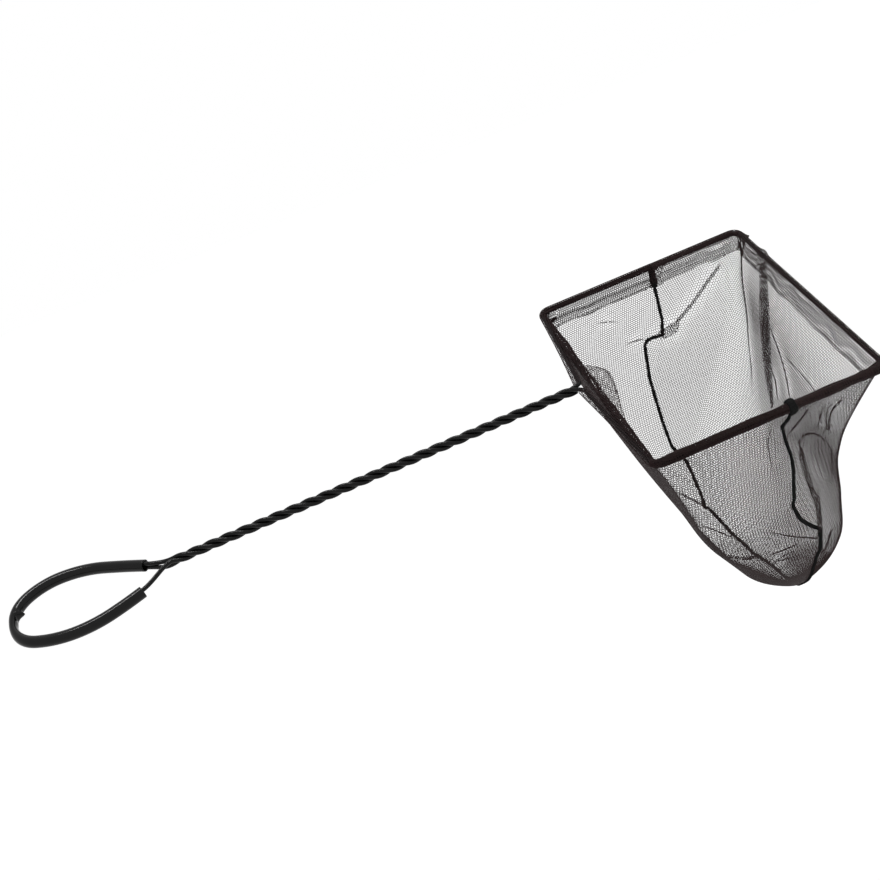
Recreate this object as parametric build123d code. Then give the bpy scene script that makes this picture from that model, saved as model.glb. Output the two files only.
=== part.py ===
from build123d import *
import math
import os

os.makedirs("parts", exist_ok=True)

# Frame: X runs along the handle from the finger loop to the net, Z is up
# The origin is the middle of the finger loop, on the handle's axis
# The hoop and the finger loop share one plane, tilted about X so that the bag hangs plumb

# Sizes in millimetres and degrees
hoop_depth = 125.0
hoop_width = 150.0
hoop_tilt = 22.0
corner_r = 5.0
apex_offset = 6.0
split_bend = 3.6
wire_d = 2.4
wire_sides = 6
strand_gap = 0.28
twist_pitch = 27.2
twist_thirds = 25

# Where the three strands lie round the twist at the net end; the free one ends there
up_strand = 30.0
down_strand = 150.0
free_strand = 270.0

# Finger loop, measured from the twist's end along the handle and across it
loop_length = 89.1
loop_rise = 24.0
loop_drop = 20.5
loop_rise_at = 62.1
loop_drop_at = 54.6
loop_tip_rise = 2.5
loop_neck_at = 16.9
loop_neck_rise = 6.9
loop_neck_angle = 30.0
loop_tail_at = 20.1
loop_tail_drop = 11.8
loop_tail_angle = 23.0
tip_flat = 1.5
loop_middle = 52.5

# Loose vinyl sleeve on the loop; at its upper mouth the wire's other end is tucked in under the loop
sleeve_od = 6.7
sleeve_bore = 5.76
sleeve_sides = 8
tuck_gap = 0.3

# Net cloth, its hem round the wire, the panel seam and the threads
cloth = 0.6
hem_gap = 0.3
hem_drop = 12.0
hem_exit = 34.0
hem_back = 1.5
hem_sides = 6
hem_fold = 1.0
seam_share = 0.56
seam_width = 2.0
seam_proud = 0.5
tab_width = 4.0
tab_proud = 0.5
sew_gap = 0.05
thread_d = 0.5
thread_sides = 6
thread_up = 1.5
thread_gap = 0.1

# Hanging form of the bag below its hem, slice by slice down to the tip
# Shares of the hoop's depth, of its half width and of the bag's drop; the front far edge is drawn in
bag_drop = 156.0
near_share = (0.066, 0.164, 0.25, 0.32, 0.52)
far_front_share = (0.752, 0.766, 0.776, 0.70, 0.62)
far_rear_share = (0.912, 0.832, 0.776, 0.70, 0.62)
front_share = (-0.92, -0.853, -0.72, -0.533, -0.22)
rear_share = (0.913, 0.813, 0.64, 0.40, 0.0)
front_drop = (0.397, 0.564, 0.731, 0.859, 0.98)
rear_drop = (0.141, 0.423, 0.667, 0.843, 0.98)
cut_share = (0.12, 0.22, 0.32, 0.38, 0.45)

# Plain openings in place of the fine mesh
mesh_pitch = 14.0
mesh_bar = 4.0

# Places that follow from the sizes
strand_r = (wire_d + strand_gap) / math.sqrt(3)
half = hoop_width / 2
seam_at = seam_share * hoop_depth
hem_cut = corner_r * (2 - math.sqrt(2))
arm_lean = apex_offset / half
twist_end = -apex_offset + arm_lean * (strand_r + split_bend) - split_bend
twist_turns = twist_thirds / 3
twist_steps = round(4 * twist_turns)
twist_length = twist_turns * twist_pitch
twist_start = twist_end - twist_length
tuck_drop = wire_d + tuck_gap
reach = loop_middle - twist_start
hoop_plane = Plane(
    origin=(reach, 0, 0),
    x_dir=(1, 0, 0),
    z_dir=(0, -math.sin(math.radians(hoop_tilt)), math.cos(math.radians(hoop_tilt))),
)


def biarc(start, start_dir, end, end_dir):
    """Two arcs that leave start along start_dir and reach end along end_dir."""
    p, q = Vector(*start), Vector(*end)
    a, b = Vector(*start_dir).normalized(), Vector(*end_dir).normalized()
    chord = q - p
    along = chord.dot(a + b)
    turn = 1 - a.dot(b)
    if turn < 1e-9:
        reach_each = chord.dot(chord) / (4 * chord.dot(b))
    else:
        root = math.sqrt(along * along + 2 * turn * chord.dot(chord))
        reach_each = (root - along) / (2 * turn)
    joint = (p + q + (a - b) * reach_each) * 0.5
    first = Edge.make_tangent_arc(p, a, joint)
    second = Edge.make_tangent_arc(joint, first.tangent_at(1), q)
    return [first, second]


def bar(edges, section):
    """One solid that carries a flat section along lines and arcs that run on smoothly."""
    walls = []
    start = section
    for edge in edges:
        if edge.geom_type == GeomType.LINE:
            length = Solid.extrude(section, edge @ 1 - edge @ 0)
        else:
            angle = math.degrees(edge.length / edge.radius)
            length = Solid.revolve(section, angle, Axis(edge.arc_center, edge.normal()))
        faces = length.faces()
        back = min(faces, key=lambda face: (face.center() - (edge @ 0)).length)
        ahead = min(faces, key=lambda face: (face.center() - (edge @ 1)).length)
        walls += [face for face in faces if face not in (back, ahead)]
        section = ahead
    return Solid(Shell(walls + [start, section]))


def polygon_bar(edges, diameter, sides):
    """A bar of a regular many-sided section, given by its corners' diameter."""
    across = Plane(origin=edges[0] @ 0, z_dir=edges[0] % 0)
    return bar(edges, (across * RegularPolygon(diameter / 2, sides)).face())


def rounded_run(points, radius):
    """Lines through flat points, with an arc of one radius at each inner point."""
    edges = []
    here = Vector(*points[0])
    for before, corner, after in zip(points, points[1:], points[2:]):
        knee = Vector(*corner)
        inward = (knee - Vector(*before)).normalized()
        outward = (Vector(*after) - knee).normalized()
        bend = math.acos(max(-1.0, min(1.0, inward.dot(outward))))
        trim = radius * math.tan(bend / 2)
        edges.append(Edge.make_line(here, knee - inward * trim))
        edges.append(Edge.make_tangent_arc(knee - inward * trim, inward, knee + outward * trim))
        here = knee + outward * trim
    edges.append(Edge.make_line(here, Vector(*points[-1])))
    return edges


def strand_point(step, at_net):
    """Place and heading of a strand, in steps from the loop end; at_net is its angle at the net end."""
    share = step / twist_steps
    angle = math.radians(at_net) + (share - 1) * twist_turns * 2 * math.pi
    lead = twist_pitch / (2 * math.pi)
    place = (twist_start + share * twist_length, strand_r * math.cos(angle), strand_r * math.sin(angle))
    heading = (lead, -strand_r * math.sin(angle), strand_r * math.cos(angle))
    return place, heading


def strand(at_net):
    """One strand of the twist, from the loop end to the net end."""
    edges = []
    for step in range(twist_steps):
        edges += biarc(*strand_point(step, at_net), *strand_point(step + 1, at_net))
    return edges


def flipped(edges):
    """The same run, walked the other way."""
    return [
        Edge.make_line(e @ 1, e @ 0)
        if e.geom_type == GeomType.LINE
        else Edge.make_tangent_arc(e @ 1, -(e % 1), e @ 0)
        for e in reversed(edges)
    ]


# Finger loop: from the twist along the upper branch, round the tip and back along the lower one
tip = (twist_start - loop_length, loop_tip_rise, 0)
tip_upper = (tip[0], tip[1] + tip_flat / 2, 0)
tip_lower = (tip[0], tip[1] - tip_flat / 2, 0)
crest = (twist_start - loop_rise_at, loop_rise, 0)
belly = (twist_start - loop_drop_at, -loop_drop, 0)
neck = (twist_start - loop_neck_at, loop_neck_rise, 0)
tail = (twist_start - loop_tail_at, -loop_tail_drop, 0)
neck_turn = math.radians(loop_neck_angle)
tail_turn = math.radians(loop_tail_angle)
neck_dir = (math.cos(neck_turn), -math.sin(neck_turn), 0)
tail_dir = (math.cos(tail_turn), math.sin(tail_turn), 0)
upper_cover = biarc(tip_upper, (0, 1, 0), crest, (1, 0, 0)) + biarc(crest, (1, 0, 0), neck, neck_dir)
lower_cover = biarc(tip_lower, (0, -1, 0), belly, (1, 0, 0)) + biarc(belly, (1, 0, 0), tail, tail_dir)
covered = flipped(upper_cover) + [Edge.make_line(tip_upper, tip_lower)] + lower_cover
upper_in = biarc(neck, neck_dir, *strand_point(0, down_strand))
lower_in = biarc(tail, tail_dir, *strand_point(0, free_strand))

# The wire's other end runs beside the upper branch for a while, under it, inside the sleeve
under = Vector(0, 0, -tuck_drop)
beside = upper_cover[-1]
tucked = [Edge.make_tangent_arc(beside @ 0 + under, beside % 0, beside @ 1 + under)]
tucked_in = biarc(tuple(beside @ 1 + under), neck_dir, *strand_point(0, up_strand))

# Hoop: the two arms leave the twist, lean out to the corners and meet round the far side
arm_top = strand_r + split_bend
arm_dir = Vector(arm_lean, 1, 0).normalized()
arm_start = (-apex_offset + arm_lean * arm_top, arm_top, 0)
arm_mirror = (arm_start[0], -arm_start[1], 0)
split_up = biarc(*strand_point(twist_steps, up_strand), arm_start, (arm_dir.X, arm_dir.Y, 0))
split_down = biarc(*strand_point(twist_steps, down_strand), arm_mirror, (arm_dir.X, -arm_dir.Y, 0))
corners = [(0, half, 0), (hoop_depth, half, 0), (hoop_depth, -half, 0), (0, -half, 0)]
hoop = rounded_run([arm_start, *corners, arm_mirror], corner_r)

# The wire from its free end at the hoop: twist, finger loop, twist, hoop, twist, and its end in the sleeve
from_free_end = flipped(lower_in + strand(free_strand)) + flipped(covered)
round_hoop = upper_in + strand(down_strand) + split_down + flipped(hoop)
to_tuck = flipped(tucked + tucked_in + strand(up_strand) + split_up)
frame_wire = polygon_bar(from_free_end + round_hoop + to_tuck, wire_d, wire_sides)

# Sleeve: a tube that hangs loose on the loop and covers one wire end
sleeve_tube = polygon_bar(covered, sleeve_od, sleeve_sides)
sleeve_tube -= polygon_bar(covered, sleeve_bore, sleeve_sides)
loop_sleeve = Pos(0, 0, -tuck_drop / 2) * sleeve_tube


def hem_outline(grow):
    """Flat outline of the hem's hanging skirt, grown by an offset."""
    across = hoop_depth + hem_back
    flat = RectangleRounded(across + 2 * grow, hoop_width + 2 * grow, corner_r + grow)
    return Pos((hoop_depth - hem_back) / 2, 0) * flat


hem_bore = wire_d + 2 * hem_gap
exit_x = -apex_offset + arm_lean * hem_exit
casing_run = rounded_run([(exit_x, hem_exit, 0), *corners, (exit_x, -hem_exit, 0)], corner_r)
bore_run = rounded_run([arm_start, *corners, arm_mirror], corner_r)


def hem(proud):
    """Hem cloth: a casing round the wire and a doubled skirt below it."""
    casing = polygon_bar(casing_run, hem_bore + 2 * cloth + 2 * proud, hem_sides)
    wall = hem_fold / 2 + proud
    skirt = hem_outline(wall) - hem_outline(-wall)
    skirt = extrude(skirt, amount=-hem_drop)
    return casing + skirt - polygon_bar(bore_run, hem_bore, hem_sides)


def bag_slice(step):
    """One slice of the bag: end walls, front and rear edges, and the cut at its corners."""
    if step == 0:
        front = hoop_plane.from_local_coords(Vector(0, -half, -hem_drop))
        rear = hoop_plane.from_local_coords(Vector(0, half, -hem_drop))
        return -hem_back, hoop_depth, hoop_depth, front, rear, hem_cut
    i = step - 1
    near, far_front, far_rear = (s[i] * hoop_depth for s in (near_share, far_front_share, far_rear_share))
    front = Vector(reach, front_share[i] * half, -front_drop[i] * bag_drop)
    rear = Vector(reach, rear_share[i] * half, -rear_drop[i] * bag_drop)
    shorter = min(far_front - near, far_rear - near, (rear - front).length) / 2
    return near, far_front, far_rear, front, rear, cut_share[i] * shorter


# Corners of a slice in order: end wall, cut along it or not, front or rear side, cut along that or not
slice_order = [
    (-1, 0, 1, 1), (-1, 1, 1, 0), (1, 1, 1, 0), (1, 0, 1, 1),
    (1, 0, -1, 1), (1, 1, -1, 0), (-1, 1, -1, 0), (-1, 0, -1, 1),
]
slices = len(near_share)


def slice_points(step, grow, lift=0.0):
    """The eight corners of one slice, grown by an offset."""
    near, far_front, far_rear, front, rear, cut = bag_slice(step)
    across = (rear - front).normalized()
    width = (rear - front).length / 2
    middle = (rear + front) / 2 + Vector(0, 0, lift if step == slices else 0)
    cut = cut + grow * (2 - math.sqrt(2))
    points = []
    for end, cut_end, side, cut_side in slice_order:
        off = side * (width + grow - cut_side * cut)
        far = (far_front + far_rear) / 2 + (far_rear - far_front) / 2 * off / width
        x = (near - grow if end < 0 else far + grow) - end * cut_end * cut
        points.append(middle + across * off + Vector(x, 0, 0))
    return points


def flat_faces(a, b, c, d):
    """One face through four points in a plane, or two triangles."""
    if abs((b - a).cross(c - a).dot(d - a)) < 1e-6:
        return [Face(Wire.make_polygon([a, b, c, d]))]
    return [Face(Wire.make_polygon([a, b, c])), Face(Wire.make_polygon([a, c, d]))]


def bag_form(grow, lift):
    """Solid of the hanging bag, with its tip lifted and all sides grown by an offset."""
    rings = [slice_points(step, grow, lift) for step in range(slices + 1)]
    faces = [Face(Wire.make_polygon(rings[0])), Face(Wire.make_polygon(rings[-1]))]
    for upper, lower in zip(rings, rings[1:]):
        for i in range(len(upper)):
            k = (i + 1) % len(upper)
            faces += flat_faces(upper[i], upper[k], lower[k], lower[i])
    return Solid(Shell(faces))


def opening(corners_of, along):
    """Cutter through one gap of the net, along X or Y, from the gap's corners on the wall."""
    places = [p.dot(along) for p in corners_of]
    start, end = min(places) - mesh_pitch / 2, max(places) + mesh_pitch / 2
    flat = [p + along * (start - place) for p, place in zip(corners_of, places)]
    return Solid.extrude(Face(Wire.make_polygon(flat)), along * (end - start))


def gaps_in(a, b, c, d, along):
    """Cutters for the rows and columns of gaps in one wall between two slices."""
    wide = ((b - a).length + (c - d).length) / 2
    high = ((d - a).length + (c - b).length) / 2
    columns, rows = round(wide / mesh_pitch), round(high / mesh_pitch)
    cutters = []
    for row in range(rows):
        for column in range(columns):
            trim_u, trim_v = mesh_bar * columns / wide / 2, mesh_bar * rows / high / 2
            corners_of = []
            left, right, above, below = trim_u, 1 - trim_u, trim_v, 1 - trim_v
            for u, v in ((left, above), (right, above), (right, below), (left, below)):
                top = a + (b - a) * ((column + u) / columns)
                low = d + (c - d) * ((column + u) / columns)
                corners_of.append(top + (low - top) * ((row + v) / rows))
            cutters.append(opening(corners_of, along))
    return cutters


def net_gaps(side):
    """Cutters for all gaps of one panel: its end wall and its shares of the front and rear walls."""
    cutters = []
    edge = reach + seam_at + side * (tab_width / 2 + mesh_bar / 2)
    for step in range(slices):
        upper, lower = slice_points(step, 0.0), slice_points(step + 1, 0.0)
        end = (0, 7) if side < 0 else (3, 4)
        cutters += gaps_in(*(upper[i] for i in end), *(lower[i] for i in reversed(end)), Vector(1, 0, 0))
        for outer in (1, 6) if side < 0 else (2, 5):
            top, low = upper[outer], lower[outer]
            if min(side * (top.X - edge), side * (low.X - edge)) > mesh_pitch / 2:
                inner_top, inner_low = Vector(edge, top.Y, top.Z), Vector(edge, low.Y, low.Z)
                cutters += gaps_in(top, inner_top, inner_low, low, Vector(0, 1, 0))
    return cutters


def slab(width):
    """Space across the handle in which the panels are sewn together."""
    return Pos(reach + seam_at, 0, 0) * Box(width, 4 * hoop_width, 6 * bag_drop)


def side_of(width, side):
    """Space on one side of the seam, clear of it."""
    span = 4 * hoop_depth
    middle = reach + seam_at + side * (width + span) / 2
    return Pos(middle, 0, 0) * Box(span, 4 * hoop_width, 6 * bag_drop)


hem_cloth = hoop_plane * hem(0.0)
bag_wall = bag_form(hem_fold / 2, 0.0) - bag_form(hem_fold / 2 - cloth, cloth)
panels = {}
for name, side in (("panel_near", -1), ("panel_far", 1)):
    edge_hem = hem_cloth & side_of(tab_width + 2 * sew_gap, side)
    edge_wall = bag_wall & side_of(seam_width + 2 * sew_gap, side)
    panels[name] = edge_hem + edge_wall.cut(*net_gaps(side))

# Seam: overlocked edges of the two panels, and the thick ends of it in the hem
seam_band = bag_form(hem_fold / 2 + seam_proud, -seam_proud)
seam_band -= bag_form(hem_fold / 2 - cloth - seam_proud, cloth + seam_proud)
bag_seam = seam_band & slab(seam_width)
tabs = (hoop_plane * hem(tab_proud)) & slab(tab_width)

# Hem threads: sewn on the outside of the skirt, one on each panel
thread_out = hem_fold / 2 + thread_gap + thread_d / 2
thread_level = thread_up - hem_drop
thread_y = half + thread_out


def hem_thread(end_x, side_x):
    """Sewing thread round one panel's hem, from seam end to seam end."""
    points = [
        (end_x, thread_y, thread_level),
        (side_x, thread_y, thread_level),
        (side_x, -thread_y, thread_level),
        (end_x, -thread_y, thread_level),
    ]
    return hoop_plane * polygon_bar(rounded_run(points, corner_r + thread_out), thread_d, thread_sides)


tab_reach = tab_width / 2 + sew_gap
thread_near = hem_thread(seam_at - tab_reach, -hem_back - thread_out)
thread_far = hem_thread(seam_at + tab_reach, hoop_depth + thread_out)

tab_front, tab_rear = tabs.solids().sort_by(Axis.Y)
nodes = {
    "frame_wire": hoop_plane * frame_wire,
    "loop_sleeve": hoop_plane * loop_sleeve,
    "panel_near": panels["panel_near"],
    "panel_far": panels["panel_far"],
    "bag_seam": bag_seam,
    "seam_tab_front": tab_front,
    "seam_tab_rear": tab_rear,
    "hem_thread_near": thread_near,
    "hem_thread_far": thread_far,
}
for name, solid in nodes.items():
    solid.label = name
    export_step(solid, f"parts/{name}.step")
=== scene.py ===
import math

import bpy
import numpy as np
from mathutils import Matrix


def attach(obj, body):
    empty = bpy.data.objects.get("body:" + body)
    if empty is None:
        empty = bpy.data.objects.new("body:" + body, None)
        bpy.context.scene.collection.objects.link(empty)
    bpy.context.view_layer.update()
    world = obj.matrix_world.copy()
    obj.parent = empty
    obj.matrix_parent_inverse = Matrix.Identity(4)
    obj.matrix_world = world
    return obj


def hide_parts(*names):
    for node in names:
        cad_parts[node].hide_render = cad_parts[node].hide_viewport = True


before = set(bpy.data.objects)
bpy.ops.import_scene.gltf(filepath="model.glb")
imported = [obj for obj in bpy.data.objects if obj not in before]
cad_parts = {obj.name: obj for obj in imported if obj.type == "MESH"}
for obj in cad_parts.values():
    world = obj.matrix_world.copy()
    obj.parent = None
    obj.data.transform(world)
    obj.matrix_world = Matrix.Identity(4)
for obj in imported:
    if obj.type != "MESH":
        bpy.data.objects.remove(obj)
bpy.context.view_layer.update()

# Sizes in millimetres, angles in degrees
MM = 0.001
wire_d = 2.4
strand_gap = 0.28
hoop_depth = 125.0
hoop_width = 150.0
hoop_tilt = 22.0
corner_r = 5.0
apex_offset = 6.0
split_bend = 3.6
twist_pitch = 27.2
twist_thirds = 25

# Where the three strands lie round the twist at the net end; the free one ends there
up_strand = 30.0
down_strand = 150.0
free_strand = 270.0

# Finger loop, measured from the twist's end along the handle and across it
loop_length = 89.1
loop_rise = 24.0
loop_drop = 20.5
loop_rise_at = 62.1
loop_drop_at = 54.6
loop_tip_rise = 2.5
loop_neck_at = 16.9
loop_neck_rise = 6.9
loop_neck_angle = 30.0
loop_tail_at = 20.1
loop_tail_drop = 11.8
loop_tail_angle = 23.0
tip_flat = 1.5
loop_middle = 52.5

# Vinyl sleeve on the loop and the buckle near its tip
sleeve_od = 6.4
sleeve_bore = 5.4
tuck_gap = 0.3
buckle_before_tip = 7.0
buckle_lip = 2.8
sleeve_sag_at = (0.0, 0.17, 0.4, 0.55, 0.75, 1.0)
sleeve_sag = (1.0, 0.95, 0.1, 0.1, 0.7, 0.8)
pinch_share = 0.34
pinch_length = 11.0

# Net: knit of hexagonal cells, its strands, the hem and the seam
cell = 1.4
strand_d = 0.36
knit_slack = 0.09
hem_drop = 12.5
hem_front_drop = 3.0
casing_r = 1.8
casing_lump = 1.0
casing_lump_at = 45.0
web_out = 4.6
web_reach = 13.0
band_at = 0.3
band_r = 2.2
band_open = 23.0
roll_turns = 2.4
roll_r = 2.5
fold_gap = 0.45
seam_d = 1.75
seam_wrap_d = 0.42
seam_wrap_pitch = 1.5
stitch_d = 0.4
stitch_length = 2.4
stitch_pitch = 3.1
stitch_up = 1.0

# Places that follow from the sizes
half = hoop_width / 2
tilt = math.radians(hoop_tilt)
strand_r = (wire_d + strand_gap) / math.sqrt(3)
arm_lean = apex_offset / half
twist_end = -apex_offset + arm_lean * (strand_r + split_bend) - split_bend
twist_turns = twist_thirds / 3
twist_length = twist_turns * twist_pitch
twist_start = twist_end - twist_length
tuck_drop = wire_d + tuck_gap
reach = loop_middle - twist_start
random = np.random.default_rng(7)


def from_hoop(points):
    """Points given along the handle, across the hoop and off its plane, in the part's frame."""
    x, across, off = np.asarray(points, float).T
    y = across * math.cos(tilt) - off * math.sin(tilt)
    z = across * math.sin(tilt) + off * math.cos(tilt)
    return np.stack([x + reach, y, z], axis=1)


def unit(vectors):
    """Vectors of length one along the last axis."""
    return vectors / np.maximum(np.linalg.norm(vectors, axis=-1, keepdims=True), 1e-12)


def smooth(knots, values, at):
    """Values of a smooth curve through a few known ones; the values may be points."""
    knots = np.asarray(knots, float)
    values = np.asarray(values, float)
    slopes = np.gradient(values, knots, axis=0)
    at = np.clip(np.asarray(at, float), knots[0], knots[-1])
    i = np.clip(np.searchsorted(knots, at, side="right") - 1, 0, len(knots) - 2)
    span = knots[i + 1] - knots[i]
    u = (at - knots[i]) / span
    if values.ndim > 1:
        span, u = span[..., None], u[..., None]
    start, end = values[i], values[i + 1]
    lead, trail = slopes[i] * span, slopes[i + 1] * span
    return (
        start * (2 * u**3 - 3 * u**2 + 1)
        + lead * (u**3 - 2 * u**2 + u)
        + end * (3 * u**2 - 2 * u**3)
        + trail * (u**3 - u**2)
    )


def lengths(points):
    """Distance walked along a run of points, from 0."""
    steps = np.linalg.norm(np.diff(points, axis=0), axis=1)
    return np.concatenate([[0.0], np.cumsum(steps)])


def even(points, count):
    """The same run with evenly spaced points."""
    walked = lengths(points)
    at = np.linspace(0, walked[-1], count)
    return np.stack([np.interp(at, walked, points[:, k]) for k in range(points.shape[1])], axis=1)


def arc(start, heading, end, count):
    """Points of the arc that leaves start along heading and ends at end, and its last heading."""
    start, end = np.asarray(start, float), np.asarray(end, float)
    heading = unit(np.asarray(heading, float))
    chord = end - start
    aside = chord - chord.dot(heading) * heading
    off = np.linalg.norm(aside)
    if off < 1e-9:
        return start + np.linspace(0, 1, count)[:, None] * chord, heading
    radius = chord.dot(chord) / (2 * off)
    turn = 2 * math.atan2(off, chord.dot(heading))
    steps = np.linspace(0, turn, count)[:, None]
    inward = aside / off
    points = start + radius * (np.sin(steps) * heading + (1 - np.cos(steps)) * inward)
    return points, math.cos(turn) * heading + math.sin(turn) * inward


def biarc(start, start_dir, end, end_dir, count=16):
    """Two arcs that leave start along start_dir and reach end along end_dir, as in the solids."""
    p, q = np.asarray(start, float), np.asarray(end, float)
    a, b = unit(np.asarray(start_dir, float)), unit(np.asarray(end_dir, float))
    chord = q - p
    along = chord.dot(a + b)
    turn = 1 - a.dot(b)
    if turn < 1e-9:
        reach_each = chord.dot(chord) / (4 * chord.dot(b))
    else:
        reach_each = (math.sqrt(along**2 + 2 * turn * chord.dot(chord)) - along) / (2 * turn)
    joint = (p + q + (a - b) * reach_each) / 2
    first, heading = arc(p, a, joint, count)
    second, _ = arc(joint, heading, q, count)
    return np.concatenate([first, second[1:]])


def bowed(start, start_dir, end, end_dir, hold_start, hold_end, count=40):
    """A smooth run from start to end, each direction held for a length."""
    u = np.linspace(0, 1, count)[:, None]
    p, q = np.asarray(start, float), np.asarray(end, float)
    after = p + hold_start * unit(np.asarray(start_dir, float))
    before = q - hold_end * unit(np.asarray(end_dir, float))
    return (1 - u) ** 3 * p + 3 * u * (1 - u) ** 2 * after + 3 * u**2 * (1 - u) * before + u**3 * q


def joined(*runs):
    """Runs of points one after the other, without doubled joints."""
    points = np.concatenate(runs)
    keep = np.concatenate([[True], np.linalg.norm(np.diff(points, axis=0), axis=1) > 1e-6])
    return points[keep]


def new_object(name, points, faces, loops_each=None, smooth_faces=True):
    """A mesh object from points in millimetres; an array of equal faces is filled in at once."""
    mesh = bpy.data.meshes.new(name)
    if loops_each is None:
        mesh.from_pydata((np.asarray(points) * MM).tolist(), [], faces)
    else:
        mesh.vertices.add(len(points))
        mesh.vertices.foreach_set("co", (np.asarray(points) * MM).ravel())
        mesh.loops.add(faces.size)
        mesh.loops.foreach_set("vertex_index", faces.ravel().astype(np.int32))
        mesh.polygons.add(len(faces))
        mesh.polygons.foreach_set("loop_start", np.arange(0, faces.size, loops_each, dtype=np.int32))
        mesh.update(calc_edges=True)
    mesh.polygons.foreach_set("use_smooth", np.full(len(mesh.polygons), smooth_faces))
    obj = bpy.data.objects.new(name, mesh)
    bpy.context.scene.collection.objects.link(obj)
    return obj


def directions(path):
    """Unit tangents of a run of points."""
    return unit(np.gradient(path, lengths(path), axis=0))


def carried_normals(path, first):
    """Normals along a run, turned as little as possible from the first one."""
    along = directions(path)
    normals = np.empty_like(path)
    normal = np.asarray(first, float)
    for i, t in enumerate(along):
        normal = unit(normal - normal.dot(t) * t)
        normals[i] = normal
    return normals, np.cross(along, normals)


def ring_faces(rows, sides):
    """Quads between rows of points that go round a tube."""
    faces = []
    for i in range(rows - 1):
        for j in range(sides):
            k = (j + 1) % sides
            faces.append((i * sides + j, i * sides + k, (i + 1) * sides + k, (i + 1) * sides + j))
    return faces


def tube_parts(path, radius, sides, first_normal, aspect=1.0):
    """Points and closed faces of a tube; radius may change along it and aspect flattens it."""
    normals, sidewise = carried_normals(path, first_normal)
    angles = np.arange(sides) * 2 * math.pi / sides
    radius = np.broadcast_to(np.asarray(radius, float), (len(path),))[:, None, None]
    ring = np.cos(angles)[None, :, None] * normals[:, None] * aspect
    ring = ring + np.sin(angles)[None, :, None] * sidewise[:, None]
    points = (path[:, None] + radius * ring).reshape(-1, 3)
    faces = ring_faces(len(path), sides)
    faces.append(tuple(reversed(range(sides))))
    last = (len(path) - 1) * sides
    faces.append(tuple(range(last, last + sides)))
    return points, faces


def merged(parts):
    """Several lists of points and faces as one."""
    points, faces, count = [], [], 0
    for some_points, some_faces in parts:
        points.append(some_points)
        faces += [tuple(i + count for i in face) for face in some_faces]
        count += len(some_points)
    return np.concatenate(points), faces


# Frame wire: loop, twist, Y split and hoop in one run


def strand_point(share, at_net):
    """Places and headings of a strand by its share from the loop end; at_net is its last angle."""
    share = np.asarray(share, float)
    angle = math.radians(at_net) + (share - 1) * twist_turns * 2 * math.pi
    x = twist_start + share * twist_length
    place = np.stack([x, strand_r * np.cos(angle), strand_r * np.sin(angle)], axis=-1)
    lead = np.full_like(x, twist_pitch / (2 * math.pi))
    heading = np.stack([lead, -strand_r * np.sin(angle), strand_r * np.cos(angle)], axis=-1)
    return place, heading


def strand(at_net):
    """One strand of the twist, from the loop end to the net end."""
    return strand_point(np.linspace(0, 1, 24 * round(twist_turns) + 1), at_net)[0]


def rounded_run(points, radius, count=9):
    """A run of straight lines with an arc of one radius at each inner point."""
    points = [np.asarray(p, float) for p in points]
    runs = [points[0][None]]
    for before, knee, after in zip(points, points[1:], points[2:]):
        inward, outward = unit(knee - before), unit(after - knee)
        trim = radius * math.tan(math.acos(np.clip(inward.dot(outward), -1, 1)) / 2)
        runs.append(arc(knee - inward * trim, inward, knee + outward * trim, count)[0])
    runs.append(points[-1][None])
    return joined(*runs)


tip = np.array([twist_start - loop_length, loop_tip_rise, 0])
tip_upper = tip + (0, tip_flat / 2, 0)
tip_lower = tip - (0, tip_flat / 2, 0)
crest = (twist_start - loop_rise_at, loop_rise, 0)
belly = (twist_start - loop_drop_at, -loop_drop, 0)
neck = (twist_start - loop_neck_at, loop_neck_rise, 0)
tail = (twist_start - loop_tail_at, -loop_tail_drop, 0)
neck_turn, tail_turn = math.radians(loop_neck_angle), math.radians(loop_tail_angle)
neck_dir = (math.cos(neck_turn), -math.sin(neck_turn), 0)
tail_dir = (math.cos(tail_turn), math.sin(tail_turn), 0)
ahead = (1, 0, 0)
upper_cover = joined(biarc(tip_upper, (0, 1, 0), crest, ahead), biarc(crest, ahead, neck, neck_dir))
lower_cover = joined(biarc(tip_lower, (0, -1, 0), belly, ahead), biarc(belly, ahead, tail, tail_dir))
covered = joined(upper_cover[::-1], lower_cover)
upper_in = biarc(neck, neck_dir, *strand_point(0, down_strand))
lower_in = bowed(tail, tail_dir, *strand_point(0, free_strand), 9.0, 6.0)

# The wire's other end runs beside the upper branch for a while, under it, inside the sleeve
under = np.array([0, 0, -tuck_drop])
tucked = upper_cover[-16:] + under
tucked_in = biarc(neck + under, neck_dir, *strand_point(0, up_strand))

arm_top = strand_r + split_bend
arm_start = np.array([-apex_offset + arm_lean * arm_top, arm_top, 0])
arm_mirror = arm_start * (1, -1, 1)
arm_dir = np.array([arm_lean, 1, 0])
split_up = biarc(*strand_point(1, up_strand), arm_start, arm_dir)
split_down = biarc(*strand_point(1, down_strand), arm_mirror, arm_dir * (1, -1, 1))
corners = [(0, half, 0), (hoop_depth, half, 0), (hoop_depth, -half, 0), (0, -half, 0)]
hoop = rounded_run([arm_start, *corners, arm_mirror], corner_r)

# The wire from its free end at the hoop: twist, finger loop, twist, hoop, twist, tucked end
from_free_end = joined(covered, lower_in, strand(free_strand))[::-1]
round_hoop = joined(upper_in, strand(down_strand), split_down, hoop[::-1])
to_tuck = joined(tucked, tucked_in, strand(up_strand), split_up)[::-1]
wire_path = joined(from_free_end, round_hoop, to_tuck)


def make_wire():
    points, faces = tube_parts(from_hoop(wire_path), wire_d / 2, 14, (0, 0, 1))
    return new_object("wire_frame", points, faces)


# Sleeve: a loose tube over the loop and the tucked end, buckled on the inside near the tip


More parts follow.
